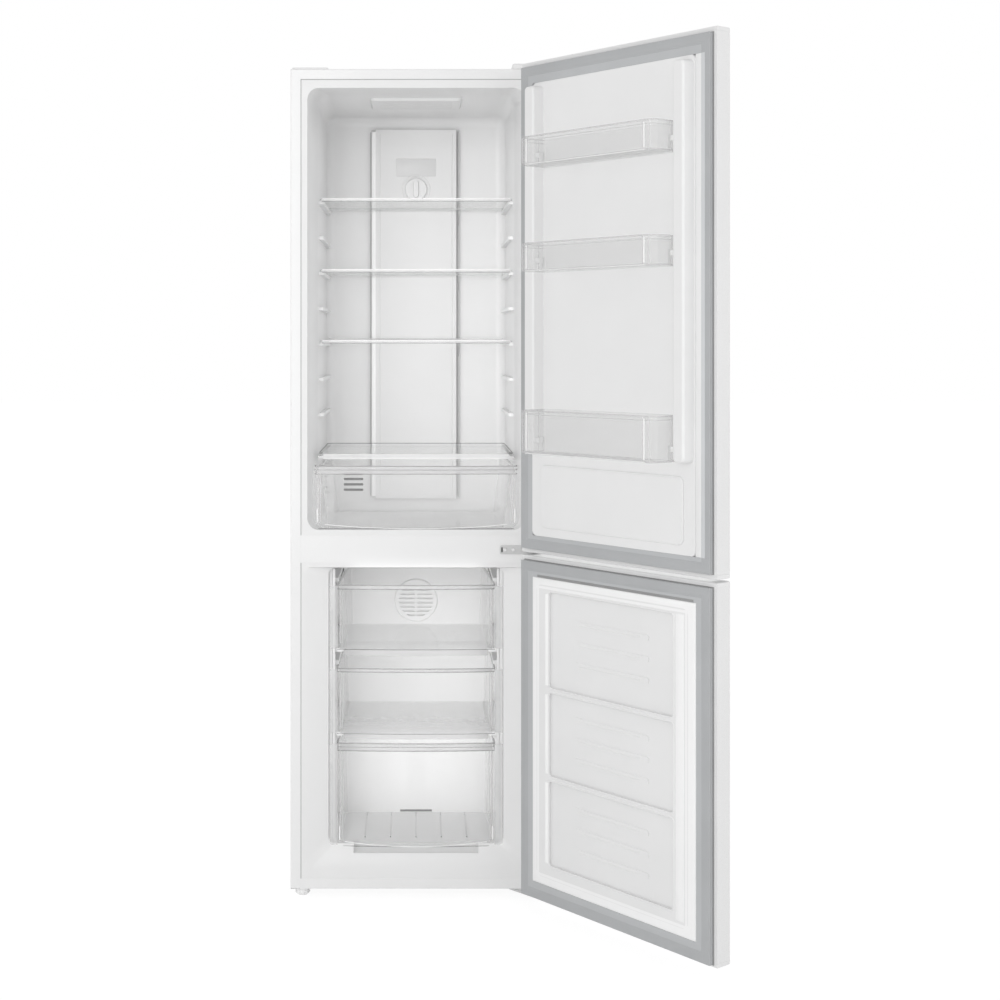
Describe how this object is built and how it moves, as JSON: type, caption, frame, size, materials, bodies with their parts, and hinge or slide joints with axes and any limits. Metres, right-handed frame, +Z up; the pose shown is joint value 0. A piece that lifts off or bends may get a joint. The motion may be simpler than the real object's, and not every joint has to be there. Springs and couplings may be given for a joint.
{
  "type": "bottom freezer refrigerator",
  "caption": "Free-standing white refrigerator with a freezer below, both doors open, with glass shelves, clear crisper, freezer drawers and door bins.",
  "frame": {"origin": "on the floor, below the middle of the cabinet's front face", "axes": "+X to the right seen from the front, +Y to the back, +Z up"},
  "size_m": [0.8677, 0.9869, 1.812],
  "materials": {
    "shell_paint": "white enamel on steel, satin",
    "rail_paint": "white enamel on steel, satin",
    "door_paint": "white enamel on steel, satin",
    "back_steel": "zinc coated sheet, dull",
    "base_steel": "white enamel on steel, satin",
    "hinge_paint": "white painted plate",
    "screw_steel": "plated steel",
    "pipe_metal": "drawn copper pipe",
    "compressor_paint": "black enamel",
    "fin_aluminium": "rolled fins and tube",
    "liner_plastic": "vacuum formed white polystyrene",
    "duct_plastic": "moulded white plastic",
    "cover_plastic": "moulded white plastic",
    "knob_plastic": "moulded white plastic",
    "trim_plastic": "moulded clear plastic",
    "lens_plastic": "frosted clear plastic",
    "clear_plastic": "clear polystyrene",
    "shelf_glass": "toughened float glass",
    "gasket_rubber": "grey soft vinyl with a magnet strip",
    "black_rubber": "moulded rubber",
    "foot_plastic": "moulded white plastic",
    "roller_plastic": "moulded nylon",
    "fan_plastic": "moulded pale grey plastic",
    "tray_plastic": "moulded plastic",
    "foam": "rigid polyurethane foam"
  },
  "bodies": {
    "cabinet": {"cabinet_shell": "shell_paint", "cabinet_back": "back_steel", "centre_rail": "rail_paint", "fridge_liner": "liner_plastic", "freezer_liner": "liner_plastic", "condenser_pipes": "pipe_metal", "cabinet_insulation": "foam", "base_plate": "base_steel", "hinge_top": "hinge_paint", "hinge_middle": "hinge_paint", "hinge_bottom": "hinge_paint", "hinge_screws": "screw_steel", "roof_covers": "cover_plastic", "roller_axles": "screw_steel", "duct_cover": "duct_plastic", "lamp_housing": "cover_plastic", "lamp_lens": "lens_plastic", "evaporator_cover": "duct_plastic", "evaporator": "fin_aluminium", "fan_motor": "fan_plastic", "defrost_heater": "fin_aluminium", "drain_tube": "cover_plastic", "evaporation_tray": "tray_plastic", "compressor": "compressor_paint", "compressor_mounts": "black_rubber", "terminal_box": "tray_plastic", "cord_gland": "black_rubber"},
    "fridge_door": {"fridge_door_skin": "door_paint", "fridge_door_liner": "liner_plastic", "fridge_door_foam": "foam", "fridge_door_gasket": "gasket_rubber", "fridge_door_caps": "cover_plastic"},
    "freezer_door": {"freezer_door_skin": "door_paint", "freezer_door_liner": "liner_plastic", "freezer_door_foam": "foam", "freezer_door_gasket": "gasket_rubber", "freezer_door_caps": "cover_plastic"},
    "foot_left": {"front_foot_left": "foot_plastic"},
    "foot_right": {"front_foot_right": "foot_plastic"},
    "roller_left": {"rear_roller_left": "roller_plastic"},
    "roller_right": {"rear_roller_right": "roller_plastic"},
    "temperature_dial": {"damper_knob": "knob_plastic", "damper_shutter": "cover_plastic"},
    "fan": {"fan_impeller": "fan_plastic"},
    "shelf_low": {"shelf_glass_low": "shelf_glass", "shelf_trim_low": "trim_plastic"},
    "shelf_middle": {"shelf_glass_middle": "shelf_glass", "shelf_trim_middle": "trim_plastic"},
    "shelf_high": {"shelf_glass_high": "shelf_glass", "shelf_trim_high": "trim_plastic"},
    "crisper_cover": {"crisper_glass": "shelf_glass", "crisper_trim": "trim_plastic"},
    "crisper": {"crisper_drawer": "clear_plastic"},
    "drawer_lower": {"freezer_drawer_lower": "clear_plastic"},
    "drawer_middle": {"freezer_drawer_middle": "clear_plastic"},
    "drawer_upper": {"freezer_drawer_upper": "clear_plastic"},
    "bin_low": {"door_bin_low": "clear_plastic"},
    "bin_middle": {"door_bin_middle": "clear_plastic"},
    "bin_high": {"door_bin_high": "clear_plastic"}
  },
  "joints": [
    {"name": "fridge_door_hinge", "type": "hinge", "parent": "cabinet", "child": "fridge_door", "pos_m": [0.2595, -0.043, 0], "axis": [0, 0, 1], "range_deg": [-128.5, 6.5]},
    {"name": "freezer_door_hinge", "type": "hinge", "parent": "cabinet", "child": "freezer_door", "pos_m": [0.2595, -0.043, 0], "axis": [0, 0, 1], "range_deg": [-128.5, 6.5]},
    {"name": "foot_left_screw", "type": "hinge", "parent": "cabinet", "child": "foot_left", "pos_m": [-0.248, 0.03, 0], "axis": [0, 0, 1], "range_deg": [-360, 360]},
    {"name": "foot_right_screw", "type": "hinge", "parent": "cabinet", "child": "foot_right", "pos_m": [0.248, 0.03, 0], "axis": [0, 0, 1], "range_deg": [-360, 360]},
    {"name": "roller_left_axle", "type": "hinge", "parent": "cabinet", "child": "roller_left", "pos_m": [-0.225, 0.47, 0.015], "axis": [1, 0, 0], "continuous": true},
    {"name": "roller_right_axle", "type": "hinge", "parent": "cabinet", "child": "roller_right", "pos_m": [0.225, 0.47, 0.015], "axis": [1, 0, 0], "continuous": true},
    {"name": "temperature_dial_shaft", "type": "hinge", "parent": "cabinet", "child": "temperature_dial", "pos_m": [0, 0.414, 1.577], "axis": [0, -1, 0], "range_deg": [-60, 210]},
    {"name": "fan_shaft", "type": "hinge", "parent": "cabinet", "child": "fan", "pos_m": [0, 0.3735, 0.591], "axis": [0, 1, 0], "continuous": true},
    {"name": "shelf_low_slide", "type": "slide", "parent": "cabinet", "child": "shelf_low", "axis": [0, -1, 0], "range_m": [0, 0.24]},
    {"name": "shelf_middle_slide", "type": "slide", "parent": "cabinet", "child": "shelf_middle", "axis": [0, -1, 0], "range_m": [0, 0.24]},
    {"name": "shelf_high_slide", "type": "slide", "parent": "cabinet", "child": "shelf_high", "axis": [0, -1, 0], "range_m": [0, 0.24]},
    {"name": "crisper_cover_slide", "type": "slide", "parent": "cabinet", "child": "crisper_cover", "axis": [0, -1, 0], "range_m": [0, 0.24]},
    {"name": "crisper_slide", "type": "slide", "parent": "cabinet", "child": "crisper", "axis": [0, -1, 0], "range_m": [0, 0.26]},
    {"name": "drawer_lower_slide", "type": "slide", "parent": "cabinet", "child": "drawer_lower", "axis": [0, -1, 0], "range_m": [0, 0.17]},
    {"name": "drawer_middle_slide", "type": "slide", "parent": "cabinet", "child": "drawer_middle", "axis": [0, -1, 0], "range_m": [0, 0.25]},
    {"name": "drawer_upper_slide", "type": "slide", "parent": "cabinet", "child": "drawer_upper", "axis": [0, -1, 0], "range_m": [0, 0.25]},
    {"name": "bin_low_lift", "type": "slide", "parent": "fridge_door", "child": "bin_low", "axis": [0, 0, 1], "range_m": [0, 0.05]},
    {"name": "bin_middle_lift", "type": "slide", "parent": "fridge_door", "child": "bin_middle", "axis": [0, 0, 1], "range_m": [0, 0.05]},
    {"name": "bin_high_lift", "type": "slide", "parent": "fridge_door", "child": "bin_high", "axis": [0, 0, 1], "range_m": [0, 0.05]}
  ]
}
